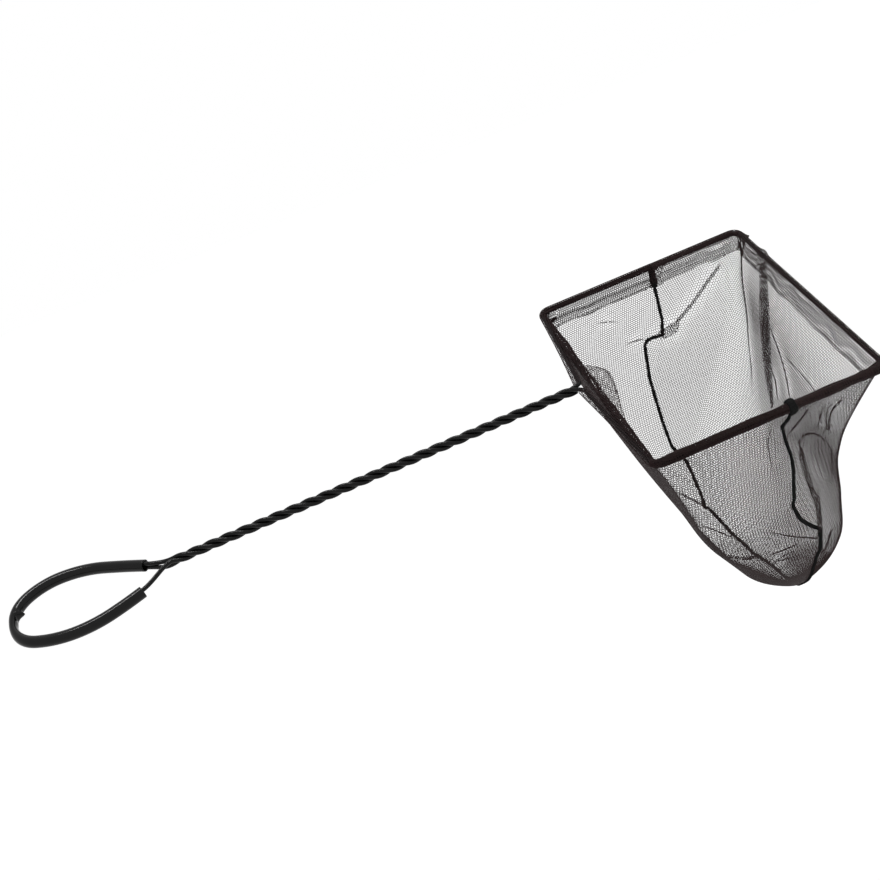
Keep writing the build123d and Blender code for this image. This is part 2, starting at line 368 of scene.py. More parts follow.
def make_sleeve():
    run = even(covered, 260)
    sag = smooth(sleeve_sag_at, sleeve_sag, np.linspace(0, 1, len(run)))
    path = from_hoop(run + np.outer(sag, under / 2))
    walked = lengths(path)
    at_tip = walked[np.argmin(run[:, 0])]
    at_buckle = at_tip - buckle_before_tip
    off_plane = np.array([0, -math.sin(tilt), math.cos(tilt)])
    normals, inward = carried_normals(path, off_plane)
    sides = 28
    angles = np.arange(sides) * 2 * math.pi / sides
    pinch = np.exp(-(((walked - at_buckle - 0.8 * pinch_length) / pinch_length) ** 2))
    lip = np.exp(-(((walked - at_buckle) / 1.3) ** 2))
    hollow = np.exp(-(((walked - at_buckle - 3.2) / 1.8) ** 2))
    flat = 1 - pinch_share * pinch
    rise = 1 + 0.3 * pinch_share * pinch
    inside = np.clip(-np.sin(angles), 0, 1)[None] ** 3
    swell = buckle_lip * lip[:, None] * inside - 0.9 * hollow[:, None] * inside

    def skin(radius, share):
        out = radius * flat[:, None] * np.sin(angles)[None] + share * swell * np.sin(angles)[None]
        up = radius * rise[:, None] * np.cos(angles)[None]
        return path[:, None] + out[..., None] * inward[:, None] + up[..., None] * normals[:, None]

    outer = skin(sleeve_od / 2, 1.0).reshape(-1, 3)
    inner = skin(sleeve_bore / 2, 0.8).reshape(-1, 3)
    rows, count = len(path), len(outer)
    faces = ring_faces(rows, sides)
    faces += [tuple(count + i for i in reversed(face)) for face in ring_faces(rows, sides)]
    for j in range(sides):
        k = (j + 1) % sides
        last = (rows - 1) * sides
        faces.append((j, count + j, count + k, k))
        faces.append((last + j, last + k, count + last + k, count + last + j))
    return new_object("vinyl_sleeve", np.concatenate([outer, inner]), faces)


# Bag: slices from the hoop down to the tip, each a rounded rectangle that becomes an oval
# Its rear and front walls as (across, height), the distances of its four upright edges from
# the handle side, and the shares by which its corners are rounded

depths = (0.0, 0.06, 0.25, 0.45, 0.65, 0.82, 0.93, 1.0)
rear_wall = (
    (71.0, 28.6), (69.8, 16.5), (68.5, -22), (61.0, -66),
    (48.0, -104), (30.0, -131.5), (10.0, -145), (-9.0, -156),
)
front_wall = (
    (-68.0, -27.6), (-69.5, -39.5), (-69.0, -62), (-64.0, -88),
    (-54.0, -114), (-40.0, -134), (-25.0, -146.5), (-9.0, -156),
)
near_rear = (0.0, 0.5, 8.0, 20.0, 31.0, 38.5, 55.0, 71.0)
near_front = (0.0, 4.0, 10.0, 17.0, 32.5, 45.0, 58.5, 71.0)
far_rear = (126.8, 121.0, 112.0, 93.0, 74.0, 69.0, 70.5, 72.5)
far_front = (126.8, 111.0, 93.0, 90.0, 88.5, 82.0, 76.5, 72.5)
near_corner = (0.075, 0.06, 0.08, 0.12, 0.3, 0.6, 0.85, 1.0)
far_rear_corner = (0.075, 0.08, 0.22, 0.6, 0.9, 1.0, 1.0, 1.0)
far_front_corner = (0.075, 0.08, 0.12, 0.14, 0.2, 0.45, 0.8, 1.0)

# Seams as (height, distance from the hoop's handle side)
rear_seam = (
    (30, 70.5), (24.6, 70.0), (14, 68.3), (-4, 66.7), (-9.5, 64.5), (-11.2, 59.5),
    (-12.2, 54.5), (-14.5, 52.0), (-35, 47.8), (-60, 45.9), (-76, 45.3), (-88, 50.2),
    (-114, 50), (-132, 56.6), (-141, 60.8), (-146, 64.7), (-152, 67.8), (-156, 71.5),
)
front_seam = (
    (-26, 74), (-33, 72), (-36, 66.4), (-60, 65), (-81, 61.7), (-89, 63.8),
    (-105, 73.2), (-116, 72), (-128, 69.7), (-145, 70.5), (-156, 71.5),
)

rows_count = 220
half_columns = 260


def quarter_slice(share):
    """A quarter of a slice, as shares along and across it, with its corner rounded by a share."""
    turn = np.linspace(0, math.pi / 2, 60)
    flat = np.linspace(0, 1 - share, 60)
    along = np.concatenate([np.ones(59), 1 - share + share * np.cos(turn), flat[::-1][1:]])
    return along, np.concatenate([flat[:-1], 1 - share + share * np.sin(turn), np.ones(59)])


def slice_arcs(depth):
    """Rear and front arcs of one slice, each from the handle side to the far side."""
    rear, front = smooth(depths, rear_wall, depth), smooth(depths, front_wall, depth)
    edges = [smooth(depths, wall, depth) for wall in (near_rear, near_front, far_rear, far_front)]
    near_x, near_up = quarter_slice(smooth(depths, near_corner, depth))
    runs = []
    for side, corner in ((1, far_rear_corner), (-1, far_front_corner)):
        far_x, far_up = quarter_slice(smooth(depths, corner, depth))
        x = np.concatenate([-near_x, far_x[::-1][1:]])
        rearward = (1 + side * np.concatenate([near_up, far_up[::-1][1:]])) / 2
        near = edges[1] + rearward * (edges[0] - edges[1])
        far = edges[3] + rearward * (edges[2] - edges[3])
        wall = front + rearward[:, None] * (rear - front)
        runs.append(np.column_stack([(near + far) / 2 + x * (far - near) / 2, wall]))
    return runs


def cut_at(run, seam):
    """An arc's two parts, from the handle side to the seam and from the seam to the far side."""
    heights = np.array([h for h, _ in seam][::-1], float)
    places = np.array([x for _, x in seam][::-1], float)
    off = run[:, 0] - np.interp(run[:, 2], heights, places)
    i = int(np.argmax(off > 0))
    share = off[i - 1] / (off[i - 1] - off[i])
    point = run[i - 1] + share * (run[i] - run[i - 1])
    return np.vstack([run[:i], point]), np.vstack([point, run[i:]])


def bag_grids():
    """Rows of points of the two panels, from the rear seam round to the front seam."""
    near_rows, far_rows = [], []
    for depth in np.linspace(0, 0.995, rows_count):
        rear_run, front_run = slice_arcs(depth)
        rear_near, rear_far = cut_at(rear_run, rear_seam)
        front_near, front_far = cut_at(front_run, front_seam)
        near_rows.append(
            np.vstack([even(rear_near, half_columns)[::-1], even(front_near, half_columns)[1:]])
        )
        far_rows.append(
            np.vstack([even(rear_far, half_columns), even(front_far, half_columns)[::-1][1:]])
        )
    return np.array(near_rows), np.array(far_rows)


def grid_normals(grid):
    """Unit normals of a grid of points."""
    down = np.gradient(grid, axis=0)
    across = np.gradient(grid, axis=1)
    return unit(np.cross(across, down))


# Pleats: a line on the wall as (x from the handle side, y, z), the cloth drawn in from each side,
# the width, how far the fold stands outwards, and the shares of the line over which it fades in and out
pleats = (
    # Rear wall: the long slanting crease, its doubled end at the seam's step and two short ones
    (
        ((110, 69.6, 13), (98, 69.3, 5.5), (87, 69.3, -2),
         (76, 69.2, -8), (70, 69.2, -11), (53, 69, -12)),
        3.4, 1.3, -0.8, 0.05, 0.1,
    ),
    (((63, 69, -12), (66.5, 69, -12.6), (72, 69, -11.7), (77, 69, -9.8)), 4.2, 1.6, -1.0, 0.1, 0.4),
    (((41, 69, -9.8), (47, 69, -9.7), (52.5, 69, -10.5)), 1.8, 0.9, -0.5, 0.6, 0.1),
    (((28, 69, 9.4), (35, 69, 7.7), (42.5, 69, 4.6)), 1.2, 0.9, -0.4, 0.5, 0.5),
    (
        ((39.1, 48.8, -102.4), (41.5, 47.2, -105.5), (44.5, 45.7, -108.7), (50.4, 42, -115.7)),
        2.6, 1.2, -0.8, 0.1, 0.1,
    ),
    (((40.7, 38.5, -120.9), (48.7, 34.1, -127.3), (54.9, 28.9, -132.4)), 1.6, 0.9, -0.5, 0.4, 0.1),
    (
        ((37.8, 16.1, -128.7), (45.1, 16, -136.1), (54.3, 15, -141.1), (61.1, 14.7, -142.1)),
        4.0, 1.6, -1.0, 0.1, 0.1,
    ),
    (((66.5, 10.4, -142.9), (72, 3.2, -138.5), (75.9, -7.9, -133.7)), 1.8, 1.0, -0.5, 0.1, 0.5),
    (((67.1, 6.7, -145.9), (73.6, -2.7, -139.2), (76.6, -12.3, -134.4)), 1.6, 1.0, -0.5, 0.1, 0.5),
    # Far wall: the corner fold and the creases beside the standing fold
    (
        ((125.4, 65.8, 23.9), (120, 59.9, 11.8), (114.9, 56.9, -5.1),
         (109.7, 54.7, -26.9), (101.6, 45.9, -46.8), (94.8, 40, -61.8)),
        2.0, 1.4, -1.2, 0.05, 0.6,
    ),
    (
        ((109.9, 21.3, -19.5), (107, 11.1, -28.9), (102.6, 0.2, -41.8), (98.3, -6.6, -53.7)),
        2.2, 1.1, -0.6, 0.1, 0.2,
    ),
    (
        ((106.6, 0.9, -31), (105, -14, -34.6), (103.8, -26, -38.3), (102.7, -35, -41.3)),
        1.8, 1.0, -0.5, 0.2, 0.2,
    ),
    (((103.8, 21.7, -40.6), (101.3, 13.9, -46.8), (98.1, 10.8, -55.9)), 1.8, 1.0, -0.5, 0.2, 0.2),
    # Front wall: the fold beside the seam, the roll under the drawn-in corner and the pleats above it
    (
        ((72, -69.9, -44), (71.7, -69.6, -57), (72.3, -68, -69),
         (74, -66, -81), (73.8, -62, -95), (73.5, -58.5, -104)),
        4.5, 1.7, 0.8, 0.2, 0.05,
    ),
    (
        ((72.5, -69.9, -43.8), (79.7, -70, -45.1), (83.8, -70.1, -49.6),
         (86.3, -69.8, -55.2), (87.3, -68.9, -62.6), (87.2, -67.6, -70)),
        1.9, 1.6, 0.9, 0.3, 0.5,
    ),
    (
        ((81, -68.8, -33.6), (77, -69.1, -36), (72, -69.5, -38.7), (67.5, -69.7, -41.5)),
        1.9, 1.1, 0.4, 0.05, 0.3,
    ),
    (((88.5, -68.9, -34), (85.2, -69.5, -38.9), (83, -69.9, -43.7)), 2.4, 1.1, 0.5, 0.05, 0.4),
    (
        ((92.6, -68.9, -34.6), (89.6, -69.7, -38.5), (88, -70, -42.5), (86.6, -70, -48.5)),
        2.6, 1.1, 0.5, 0.05, 0.4,
    ),
    (
        ((97.8, -69.1, -35.9), (93.5, -70, -38.8), (91, -70.2, -43), (88, -70, -50)),
        2.6, 1.1, 0.5, 0.05, 0.4,
    ),
    (((79.1, -67.8, -70.7), (82.4, -67.2, -74.2), (86.3, -65.6, -78.9)), 1.4, 0.9, 0.3, 0.4, 0.3),
    (((69.5, -67.7, -71.8), (72.4, -66.5, -77), (74.1, -66.6, -81)), 1.5, 0.9, 0.3, 0.3, 0.3),
    (((57.5, -65.7, -81.4), (59.8, -66.3, -79), (61.5, -66.6, -77)), 1.3, 0.8, 0.3, 0.4, 0.1),
    (((46.5, -58.9, -103.5), (54, -58.6, -104.1), (61.6, -58.6, -104.1)), 1.6, 0.9, 0.4, 0.2, 0.4),
    (((47.4, -56.1, -110), (50.8, -55.8, -110.6), (54.8, -55.2, -111.7)), 1.4, 0.8, 0.3, 0.2, 0.4),
    (((85.5, -69.6, -57), (85.2, -68.7, -64.8), (84.7, -67.1, -74.8)), 1.6, 1.5, 0.6, 0.5, 0.5),
    (
        ((62, -68.8, -33.4), (57.3, -69.6, -41), (55.7, -70, -51), (55.2, -69.3, -59.6)),
        1.7, 0.9, 0.4, 0.1, 0.4,
    ),
    (
        ((46, -64, -87.8), (54.6, -62, -95), (62.4, -60, -100.4), (71.6, -57.8, -106)),
        1.7, 0.9, 0.4, 0.4, 0.05,
    ),
    (((79, -58.4, -104.6), (77.8, -55.5, -111), (75.6, -51, -119)), 3.0, 1.5, 0.6, 0.2, 0.2),
)


# Loose folds that stand into the mouth: a line at the wall, and how far the cloth reaches along X from it
standing_fold = (
    (124.9, 38.3, 12.8), (116.5, 28, -2.7), (109.8, 23, -20.4), (104, 20.5, -39.2), (96, 14.7, -61),
)
standing_out = (-3.5, -5.0, -5.0, -4.0, -1.0)
band_fold = (
    (2.5, 15, 5), (2.5, 8, 2), (2.5, 2, -1), (2.5, -12, -6.5), (2.3, -26, -12), (2.3, -36, -16),
)
band_out = (1.5, 8.0, 9.5, 6.5, 2.5, 0.5)


def eased(share):
    """A share from 0 to 1 with a soft start and end."""
    share = np.clip(share, 0, 1)
    return share * share * (3 - 2 * share)


def pleat_shift(grid, outward, line, gather, width, stand, fade_in, fade_out):
    """Move of each grid point for one pleat: drawn to the line from both sides, and off the wall."""
    line = smooth(np.linspace(0, 1, len(line)), line, np.linspace(0, 1, 60))
    heading = directions(line)
    move = np.zeros_like(grid)
    room = 7 * width + 4
    near_it = np.all((grid > line.min(axis=0) - room) & (grid < line.max(axis=0) + room), axis=-1)
    places, normals = grid[near_it], outward[near_it]
    if not len(places):
        return move
    i = np.argmin(np.linalg.norm(places[:, None] - line[None], axis=-1), axis=1)
    off = places - line[i]
    along = np.sum(off * heading[i], axis=1)
    past_end = np.where(i == len(line) - 1, np.maximum(along, 0), 0)
    beyond = np.where(i == 0, np.minimum(along, 0), past_end)
    aside = unit(np.cross(normals, heading[i]))
    across = np.sum(off * aside, axis=1) / width
    depth = np.sum(off * normals, axis=1) / (2 * width + 1.5)
    share = i / (len(line) - 1)
    fade = eased(share / max(fade_in, 1e-3) + 0.15) * eased((1 - share) / max(fade_out, 1e-3) + 0.05)
    held = fade * np.exp(-(depth**2) - (beyond / width) ** 2)
    bell = held * np.exp(-(across**2))
    pull = held * np.tanh(across) * np.exp(-((across / 3) ** 2))
    move[near_it] = stand * bell[:, None] * normals - gather * pull[:, None] * aside
    return move


def knit(width, height):
    """Corners and edges of hexagonal cells over a flat piece of cloth, centred across."""
    side = cell / math.sqrt(3)
    columns = int(width / cell) + 3
    rows = int(height / (1.5 * side)) + 3
    i, j = np.meshgrid(np.arange(columns), np.arange(rows), indexing="ij")
    x = (i + 0.5 * (j % 2)) * cell - columns * cell / 2
    y = j * 1.5 * side - side
    lower = np.stack([x, y], axis=-1).reshape(-1, 2)
    upper = lower + (0, side)
    count = len(lower)
    index = (i * rows + j).ravel()
    ii, jj = i.ravel(), j.ravel()
    edges = [np.stack([index, index + count], axis=1)]
    for step in (0, 1):
        to_i = ii + step - 1 + (jj % 2)
        ok = (jj > 0) & (to_i >= 0) & (to_i < columns)
        edges.append(np.stack([index[ok], to_i[ok] * rows + jj[ok] - 1 + count], axis=1))
    flat = np.vstack([lower, upper])
    return flat + random.normal(0, knit_slack / 2, flat.shape), np.vstack(edges)


def laid_out(grid, plain):
    """A grid set out by its plain form's lengths: the rows' two ends, the steps, both forms' points."""
    middle = plain.shape[1] // 2
    walked = np.array([lengths(row) for row in plain])
    walked -= walked[:, middle : middle + 1]
    step = 0.6
    span = np.arange(walked.min() - step, walked.max() + 2 * step, step)

    def set_out(form):
        rows = [[np.interp(span, w, row[:, k]) for k in range(3)] for w, row in zip(walked, form)]
        return np.array(rows).transpose(0, 2, 1)

    return walked[:, 0], walked[:, -1], span, set_out(grid), set_out(plain)


def mixed(field, row, column):
    """Values of a field at places between its rows and columns."""
    r0 = np.clip(row.astype(int), 0, field.shape[0] - 2)
    c0 = np.clip(column.astype(int), 0, field.shape[1] - 2)
    fr, fc = row - r0, column - c0
    if field.ndim > 2:
        fr, fc = fr[:, None], fc[:, None]
    upper = field[r0, c0] * (1 - fc) + field[r0, c0 + 1] * fc
    lower = field[r0 + 1, c0] * (1 - fc) + field[r0 + 1, c0 + 1] * fc
    return upper * (1 - fr) + lower * fr


def net_on(grid, plain=None, margin=0.8):
    """Strands of the knit laid by the plain form's lengths: starts, ends, normals, place down the cloth."""
    low, high, span, points, base = laid_out(grid, grid if plain is None else plain)
    normals = unit(np.cross(np.gradient(points, axis=1) + 1e-9, np.gradient(points, axis=0) + 1e-9))
    steps = np.linalg.norm(np.diff(base, axis=0), axis=2)
    down = np.vstack([np.zeros(len(span)), np.cumsum(steps, axis=0)])
    rows = np.arange(len(grid))
    levels = np.arange(0, down.max() + 1, 0.6)
    row_at = np.stack([np.interp(levels, d, rows, right=len(rows)) for d in down.T], axis=1)
    flat, edges = knit(span[-1] - span[0], levels[-1])
    column = (flat[:, 0] - span[0]) / (span[1] - span[0])
    row = mixed(row_at, flat[:, 1] / levels[1], column)
    inside = (flat[:, 1] >= 0) & (row <= rows[-1])
    left, right = np.interp(row, rows, low), np.interp(row, rows, high)
    inside &= (flat[:, 0] > left - margin) & (flat[:, 0] < right + margin)
    column = (np.clip(flat[:, 0], left, right) - span[0]) / (span[1] - span[0])
    place, normal = mixed(points, row, column), unit(mixed(normals, row, column))
    kept = edges[inside[edges[:, 0]] & inside[edges[:, 1]]]
    kept = kept[np.linalg.norm(place[kept[:, 0]] - place[kept[:, 1]], axis=1) > 0.15]
    return place[kept[:, 0]], place[kept[:, 1]], normal[kept[:, 0]], flat[kept[:, 0], 1]


def cut_size(grid):
    """Width, length and area of the cloth that a grid takes."""
    across, along = np.diff(grid, axis=1), np.diff(grid, axis=0)
    width = np.linalg.norm(across, axis=2).sum(axis=1).max()
    length = np.linalg.norm(along, axis=2).sum(axis=0).max()
    area = np.linalg.norm(np.cross(across[:-1], along[:, :-1]), axis=2).sum()
    return np.array([width, length, area])


def strands_object(name, starts, ends, normals):
    """One mesh of three-sided strands, open at their ends where they meet."""
    along = unit(ends - starts)
    up = unit(normals - np.sum(normals * along, axis=1, keepdims=True) * along)
    aside = np.cross(along, up)
    reach_on = along * strand_d * 0.2
    rings = []
    for place in (starts - reach_on, ends + reach_on):
        for k in range(3):
            angle = math.pi / 2 + k * 2 * math.pi / 3
            rings.append(place + strand_d / 2 * (math.sin(angle) * up + math.cos(angle) * aside))
    points = np.stack(rings, axis=1)
    base = (np.arange(len(points)) * 6)[:, None, None]
    quads = np.array([(0, 1, 4, 3), (1, 2, 5, 4), (2, 0, 3, 5)])[None] + base
    return new_object(name, points.reshape(-1, 3), quads.reshape(-1, 4), loops_each=4)


def shifted(points):
    """Points given from the hoop's handle side, in the part's frame."""
    return points + (reach, 0, 0)


def pleated(grid, side):
    """A panel's grid with its pleats; side tells which way its normals point."""
    outward = side * grid_normals(grid)
    return grid + sum(pleat_shift(grid, outward, *pleat) for pleat in pleats)


near_plain, far_plain = bag_grids()
near_grid, far_grid = pleated(near_plain, -1), pleated(far_plain, 1)


def make_panel(name, grid, plain):
    """A panel's net in an upper and a lower piece of equal area, each with its cut size."""
    starts, ends, normals, heights = net_on(shifted(grid), shifted(plain))
    middle = np.median(heights)
    width, length, area = cut_size(plain)
    first_low = int(len(plain) * middle / length)
    cuts = ((width, middle, area / 2), (cut_size(plain[first_low:])[0], length - middle, area / 2))
    pieces = []
    for part, mask in (("upper", heights < middle), ("lower", heights >= middle)):
        pieces.append(strands_object(f"{name}_{part}", starts[mask], ends[mask], normals[mask]))
    return zip(pieces, cuts)


def make_fold(name, line, out, layers):
    """A loose fold of a panel beside its wall, its layers drawn together."""
    share = np.linspace(0, 1, 90)
    knots = np.linspace(0, 1, len(line))
    line, out = smooth(knots, line, share), smooth(knots, out, share)
    columns = []
    for step in np.linspace(0, layers, round(14 * layers)):
        into = 1 - abs(step % 2 - 1)
        columns.append(line + np.stack([out * into, 0 * out + fold_gap * step, 0 * out], axis=1))
    starts, ends, normals, _ = net_on(shifted(np.array(columns).transpose(1, 0, 2)))
    return strands_object(name, starts, ends, normals)


# Hem: the cloth goes round the wire and comes back down on the inside; at the front it is rolled up

hoop_normal = np.array([0, -math.sin(tilt), math.cos(tilt)])
apex = (-apex_offset, 0, 0)
hoop_line = from_hoop(even(rounded_run([apex, *corners, apex], corner_r), 1500)) - (reach, 0, 0)


def down_columns(grid, drop):
    """Points a distance down each column of a grid from its top edge."""
    steps = np.linalg.norm(np.diff(grid, axis=0), axis=2)
    walked = np.vstack([np.zeros(grid.shape[1]), np.cumsum(steps, axis=0)])
    places = []
    for j, d in enumerate(np.broadcast_to(drop, grid.shape[1])):
        places.append([np.interp(d, walked[:, j], grid[:, j, k]) for k in range(3)])
    return np.array(places)


def hem_grid(grid, side):
    """Grid of the hem cloth, rows from the wall's top edge round the wire to the hem's free edge."""
    top = grid[0]
    i = np.argmin(np.linalg.norm(top[:, None] - hoop_line[None], axis=-1), axis=1)
    wire = hoop_line[i]
    outward = unit(np.cross(directions(hoop_line)[i], hoop_normal))
    centre = np.array([hoop_depth / 2, 0, 0])
    outward *= np.sign(np.sum(outward * (wire - centre), axis=1))[:, None]
    across = wire[:, 1] / math.cos(tilt)
    at_near = eased(1 - np.abs(wire[:, 0] + 3) / 5) * (np.abs(across) < half - 1)
    at_rear = eased((across - 67) / 6)
    rolled = np.maximum(eased((-across - 67) / 6), at_near)
    lump = casing_lump * np.exp(-(((across - casing_lump_at) / 3) ** 2)) * (wire[:, 0] > hoop_depth / 2)
    out = casing_r + lump + web_out * np.exp(-np.abs(across) / web_reach) * at_near
    inner = casing_r + at_near * (band_at + band_r - wire[:, 0] - casing_r)
    core = wire + np.outer(at_near * (band_at - wire[:, 0]), (1, 0, 0))
    wave = np.sin(lengths(wire) / 5.1) + np.sin(lengths(wire) / 3.3 + 1)
    drop = hem_drop + (hem_front_drop - hem_drop) * rolled + 0.35 * wave * (1 - rolled)
    walls = unit(side * grid_normals(grid)[12])
    rows = [top]
    first = -20 - 70 * at_near
    for share in np.linspace(0, 1, 34):
        angle = np.radians(first + (180 - first + 360 * at_rear) * share)
        wide = np.where(np.cos(angle) > 0, out, inner)
        rise = (casing_r + lump) * np.sin(angle)
        rows.append(wire + (wide * np.cos(angle))[:, None] * outward + rise[:, None] * hoop_normal)
    rim = roll_r + at_near * (band_r - roll_r) + 0.12 * wave
    for share in np.linspace(0.05, 1, 36):
        inset = (out * 0.6 + inner) * (1 - share) ** 1.3 + 0.35 + 0.14 * wave * math.sin(math.pi * share)
        flap = down_columns(grid, drop * share) - inset[:, None] * walls
        angle = math.pi + 2 * math.pi * roll_turns * share
        round_core = math.cos(angle) * outward + math.sin(angle) * hoop_normal
        roll = core + (rim - 0.3 * share)[:, None] * round_core
        rows.append(flap + rolled[:, None] * (roll - flap))
    return np.array(rows)


def make_hem(name, grid, side):
    """A panel's hem, left open where the handle comes in and between the wire and the rolled band."""
    cloth = hem_grid(grid, side)
    starts, ends, normals, _ = net_on(shifted(cloth))
    x, y, z = ((starts + ends) / 2 - (reach, 0, 0)).T
    across = np.abs(y * math.cos(tilt) + z * math.sin(tilt))
    wire_at = -apex_offset + arm_lean * across
    gap = (x > wire_at + 1.5) & (x < band_at - band_r + 0.3) & (across < band_open)
    clear = ((x > -3) | (np.hypot(y, z) > 3)) & ~gap
    return strands_object(name, starts[clear], ends[clear], normals[clear]), cut_size(cloth)


# Seam, tabs and hem stitches


def wrapped_cord(path, core_d, wrap_d, pitch, aspect=0.75, first_normal=(0.3, 1, 0.2)):
    """A flat core of turned cloth edges with a thread wound round it."""
    path = even(path, int(lengths(path)[-1] / 0.8))
    walked = lengths(path)
    wobble = 1 + 0.12 * np.sin(walked / 1.9) + 0.1 * np.sin(walked / 0.83 + 2)
    parts = [tube_parts(path, core_d / 2 * wobble, 8, first_normal, aspect)]
    fine = even(path, int(walked[-1] / pitch * 12))
    normals, sidewise = carried_normals(fine, first_normal)
    angle = (lengths(fine) / pitch * 2 * math.pi)[:, None]
    spread = (core_d + 0.7 * wrap_d) / 2
    wound = fine + spread * (np.cos(angle) * normals * aspect + np.sin(angle) * sidewise)
    parts.append(tube_parts(wound, wrap_d / 2, 5, (0.2, 0.1, 1)))
    return merged(parts)


def make_seam():
    """Overlocked edges of the two panels, from one tab round the tip to the other."""
    path = shifted(joined(near_grid[12:, 0], near_grid[2:, -1][::-1]))
    points, faces = wrapped_cord(even(path, 420), seam_d, seam_wrap_d, seam_wrap_pitch)
    return new_object("bag_seam_cord", points, faces)


def tab_object(name, path, first_normal):
    """The seam's thick end: turned edges sewn over with close stitches."""
    walked = lengths(path)
    width = 2.1 + 0.25 * np.sin(walked / 1.1)
    core = tube_parts(path, width, 12, first_normal, 0.42)
    return new_object(name, *merged([core, wrapped_cord(path, 3.6, 0.5, 1.1, 0.42, first_normal)]))


def make_rear_tab():
    return tab_object("seam_tab_rear_piece", even(shifted(near_grid[:15, 0]), 30), (0, 1, 0))


def make_front_tab():
    """The front tab is rolled up with the hem."""
    wire = np.array([near_grid[0, -1, 0] + reach, -half * math.cos(tilt), -half * math.sin(tilt)])
    outward = np.array([0, -math.cos(tilt), -math.sin(tilt)])
    turns = np.radians(np.linspace(-150, 170, 40))[:, None]
    path = wire + (roll_r + 0.7) * (np.cos(turns) * outward + np.sin(turns) * hoop_normal)
    return tab_object("seam_tab_front_piece", path, path[0] - wire)


def make_stitches(name, grid, side):
    """Row of lockstitches along the hem's lower edge, on the wall's outside."""
    walls = unit(side * grid_normals(grid)[12])
    across = grid[0, :, 1] / math.cos(tilt)
    drop = hem_drop + (hem_front_drop + 1 - hem_drop) * eased((-across - 67) / 6) - stitch_up
    row = even(shifted(down_columns(grid, drop) + 0.4 * walls), 900)
    walked = lengths(row)
    parts = []
    for start in np.arange(1.0, walked[-1] - stitch_length, stitch_pitch):
        at = start + np.linspace(0, stitch_length, 7)
        points = np.stack([np.interp(at, walked, row[:, k]) for k in range(3)], axis=1)
        bow = np.sin(np.linspace(0, math.pi, 7))
        parts.append(tube_parts(points, stitch_d / 2 * (0.55 + 0.45 * bow), 6, (0, 0, 1)))
    return new_object(name, *merged(parts))


# Materials


def new_material(name, base, roughness, specular=0.5):
    """A plain shader with its node tools at hand."""
    material = bpy.data.materials.new(name)
    material.use_nodes = True
    shader = material.node_tree.nodes["Principled BSDF"]
    shader.inputs["Base Color"].default_value = (*base, 1)
    shader.inputs["Roughness"].default_value = roughness
    shader.inputs["Specular IOR Level"].default_value = specular
    return material, material.node_tree, shader


def vary(tree, shader, scale, colours, roughness, bump=0.0):
    """Noise that varies colour and roughness and can raise a fine grain."""
    coordinates = tree.nodes.new("ShaderNodeTexCoord")
    noise = tree.nodes.new("ShaderNodeTexNoise")
    noise.inputs["Scale"].default_value = scale
    noise.inputs["Detail"].default_value = 4.0
    tree.links.new(coordinates.outputs["Object"], noise.inputs["Vector"])
    ramp = tree.nodes.new("ShaderNodeValToRGB")
    ramp.color_ramp.elements[0].position = 0.3
    ramp.color_ramp.elements[1].position = 0.7
    ramp.color_ramp.elements[0].color = (*colours[0], 1)
    ramp.color_ramp.elements[1].color = (*colours[1], 1)
    tree.links.new(noise.outputs["Fac"], ramp.inputs["Fac"])
    tree.links.new(ramp.outputs["Color"], shader.inputs["Base Color"])
    spread = tree.nodes.new("ShaderNodeMapRange")
    spread.inputs["To Min"].default_value = roughness[0]
    spread.inputs["To Max"].default_value = roughness[1]
    tree.links.new(noise.outputs["Fac"], spread.inputs["Value"])
    tree.links.new(spread.outputs["Result"], shader.inputs["Roughness"])
    if bump:
        grain = tree.nodes.new("ShaderNodeBump")
        grain.inputs["Strength"].default_value = bump
        grain.inputs["Distance"].default_value = 0.0002
        tree.links.new(noise.outputs["Fac"], grain.inputs["Height"])
        tree.links.new(grain.outputs["Normal"], shader.inputs["Normal"])


def coat_material():
    material, tree, shader = new_material("satin_black_coat", (0.005, 0.005, 0.005), 0.14, 0.14)
    vary(tree, shader, 500, ((0.003, 0.003, 0.003), (0.006, 0.006, 0.006)), (0.12, 0.18))
    return material


def vinyl_material():
    material, tree, shader = new_material("gloss_black_vinyl", (0.003, 0.003, 0.003), 0.12, 0.18)
    vary(tree, shader, 120, ((0.002, 0.002, 0.002), (0.004, 0.004, 0.004)), (0.1, 0.15))
    return material


def nylon_material():
    material, tree, shader = new_material("black_nylon_knit", (0.024, 0.013, 0.013), 0.55, 0.15)
    vary(tree, shader, 700, ((0.018, 0.01, 0.01), (0.03, 0.016, 0.016)), (0.48, 0.66))
    return material


def thread_material():
    material, tree, shader = new_material("black_sewing_thread", (0.006, 0.006, 0.006), 0.8, 0.1)
    vary(tree, shader, 1500, ((0.004, 0.004, 0.004), (0.01, 0.01, 0.01)), (0.7, 0.9), 0.5)
    return material


# Assembly


def place(obj, material, slot, *nodes):
    """Gives a piece its material and sets it on the part's body; its slot is not used."""
    obj.data.materials.append(material)
    if nodes:
        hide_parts(*nodes)
    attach(obj, "root")


def cloth(piece, cut, held, holder, *more):
    """Does nothing; the piece, its cut size, how it is held, its holder and the pieces that belong to it
    are not used.
    """


coat, vinyl, nylon, thread = coat_material(), vinyl_material(), nylon_material(), thread_material()
place(make_wire(), coat, "coated_wire", "frame_wire")
place(make_sleeve(), vinyl, "vinyl_sleeve", "loop_sleeve")

